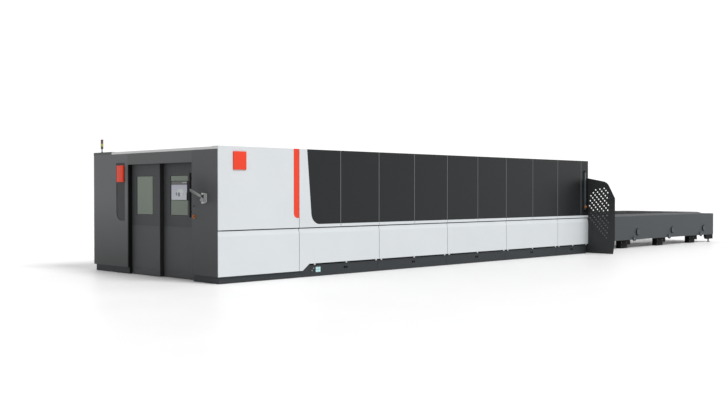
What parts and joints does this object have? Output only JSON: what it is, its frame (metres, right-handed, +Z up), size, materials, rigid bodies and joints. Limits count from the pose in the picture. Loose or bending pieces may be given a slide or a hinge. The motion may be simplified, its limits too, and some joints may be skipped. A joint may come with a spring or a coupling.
{
  "type": "fiber laser cutting machine",
  "caption": "Long enclosed sheet laser cutting machine with telescopic operator doors at one end and a shuttle table with slatted sheet pallets at the other.",
  "frame": {"origin": "on the floor under the middle of the machine's bounding box", "axes": "+X along the machine from the operator doors to the free end of the shuttle table, +Y to the side away from the long glazed side, +Z up"},
  "size_m": [21.774, 6.37, 2.895],
  "materials": {
    "white_cover": "satin white powder coat",
    "dark_cover": "fine-textured anthracite powder coat",
    "dark_frame": "anthracite paint",
    "recess_black": "dark semi-gloss",
    "black_panel": "smooth black",
    "black_trim": "matt black",
    "black_rubber": "matt black rubber",
    "plinth_grey": "dark grey powder coat",
    "port_cap": "pale blue-green plastic",
    "badge_red": "bright orange-red paint",
    "guard_grey": "dark powder coat",
    "table_grey": "dark blue-grey powder coat",
    "bed_grey": "grey machine paint",
    "bridge_paint": "light grey machine paint",
    "head_case": "satin light grey",
    "ground_steel": "ground steel",
    "track_steel": "plain steel",
    "conveyor_steel": "worn plain steel",
    "pallet_steel": "dark painted steel",
    "slat_steel": "mill-finish steel with heat tint",
    "stop_yellow": "signal yellow",
    "stop_red": "signal red",
    "lens": "clear-coloured lenses",
    "arm_silver": "satin anodised",
    "monitor_case": "dark grey",
    "screen": "lit display",
    "safety_glass": "grey-green laser safety glass"
  },
  "bodies": {
    "frame": {"machine_bed": "bed_grey", "gantry_rails": "ground_steel", "side_frames": "dark_frame", "roof_sheets": "white_cover", "corner_top_cover": "dark_cover", "control_cabinet": "dark_frame", "front_column_left": "dark_cover", "column_recess_panel": "recess_black", "front_badge": "badge_red", "front_column_right": "dark_cover", "door_header": "dark_cover", "column_edge_trim": "black_trim", "door_rails": "dark_frame", "plinth_covers": "plinth_grey", "service_ports": "port_cap", "corner_cover": "white_cover", "side_badge": "badge_red", "side_stripe": "badge_red", "window_surround": "white_cover", "window_panels": "black_panel", "end_post": "black_panel", "lower_covers": "white_cover", "far_side_covers": "white_cover", "light_barriers": "table_grey", "side_guards": "guard_grey", "rear_wall": "dark_frame", "signal_tower": "lens", "monitor_bracket": "arm_silver", "control_collars": "stop_yellow", "table_sides": "table_grey", "table_end_plate": "table_grey", "table_cross_beams": "table_grey", "pallet_tracks": "track_steel", "table_hubs": "table_grey", "table_jacks": "black_trim", "table_end_feet": "black_trim", "scrap_conveyor": "conveyor_steel"},
    "gate": {"rear_gate": "dark_cover"},
    "stop_front": {"stop_button_front": "stop_red"},
    "stop_rear": {"stop_button_rear": "stop_red"},
    "key": {"switch_key": "ground_steel"},
    "door_front": {"door_1_leaf": "dark_cover", "door_1_window": "safety_glass", "door_1_edge_seal": "black_rubber"},
    "door_rear": {"door_2_leaf": "dark_cover", "door_2_window": "safety_glass", "door_handle": "black_trim"},
    "arm": {"monitor_arm": "arm_silver"},
    "monitor": {"monitor_head": "arm_silver", "monitor_housing": "monitor_case", "monitor_screen": "screen"},
    "gantry": {"gantry_bridge": "bridge_paint"},
    "carriage": {"head_carriage": "dark_frame"},
    "torch": {"cutting_head": "head_case"},
    "pallet_upper": {"pallet_a_frame": "pallet_steel", "pallet_a_slats": "slat_steel"},
    "pallet_lower": {"pallet_b_frame": "pallet_steel", "pallet_b_slats": "slat_steel"}
  },
  "joints": [
    {"name": "rear_door_slide", "type": "slide", "parent": "frame", "child": "door_rear", "axis": [0, 1, 0], "range_m": [0, 1.95]},
    {"name": "front_door_slide", "type": "slide", "parent": "frame", "child": "door_front", "axis": [0, 1, 0], "range_m": [0, 0.976]},
    {"name": "monitor_arm_swing", "type": "hinge", "parent": "frame", "child": "arm", "pos_m": [-10.558, -1.94, 1.6135], "axis": [0, 0, 1], "range_deg": [-10, 75]},
    {"name": "monitor_swivel", "type": "hinge", "parent": "arm", "child": "monitor", "pos_m": [-10.708, -1.654, 1.796], "axis": [0, 0, 1], "range_deg": [-25, 25]},
    {"name": "front_stop_press", "type": "slide", "parent": "frame", "child": "stop_front", "axis": [1, 0, 0], "range_m": [0, 0.006], "stiffness_N_per_m": 2000},
    {"name": "rear_stop_press", "type": "slide", "parent": "frame", "child": "stop_rear", "axis": [0, 1, 0], "range_m": [0, 0.006], "stiffness_N_per_m": 2000},
    {"name": "key_turn", "type": "hinge", "parent": "frame", "child": "key", "pos_m": [-10.491, -1.539, 1.458], "axis": [-1, 0, 0], "range_deg": [0, 90]},
    {"name": "gantry_travel", "type": "slide", "parent": "frame", "child": "gantry", "axis": [1, 0, 0], "range_m": [0, 8.6]},
    {"name": "carriage_travel", "type": "slide", "parent": "gantry", "child": "carriage", "axis": [0, 1, 0], "range_m": [-1.25, 1.25]},
    {"name": "head_height", "type": "slide", "parent": "carriage", "child": "torch", "axis": [0, 0, -1], "range_m": [0, 0.14]},
    {"name": "upper_pallet_travel", "type": "slide", "parent": "frame", "child": "pallet_upper", "axis": [-1, 0, 0], "range_m": [0, 8.98]},
    {"name": "lower_pallet_travel", "type": "slide", "parent": "frame", "child": "pallet_lower", "axis": [1, 0, 0], "range_m": [0, 8.98]},
    {"name": "gate_drop", "type": "slide", "parent": "frame", "child": "gate", "axis": [0, 0, -1], "range_m": [0, 0.8]}
  ],
  "couplings": [
    {"joint": "front_door_slide", "follows": "rear_door_slide", "ratio": 0.5},
    {"joint": "lower_pallet_travel", "follows": "upper_pallet_travel", "ratio": 1}
  ]
}
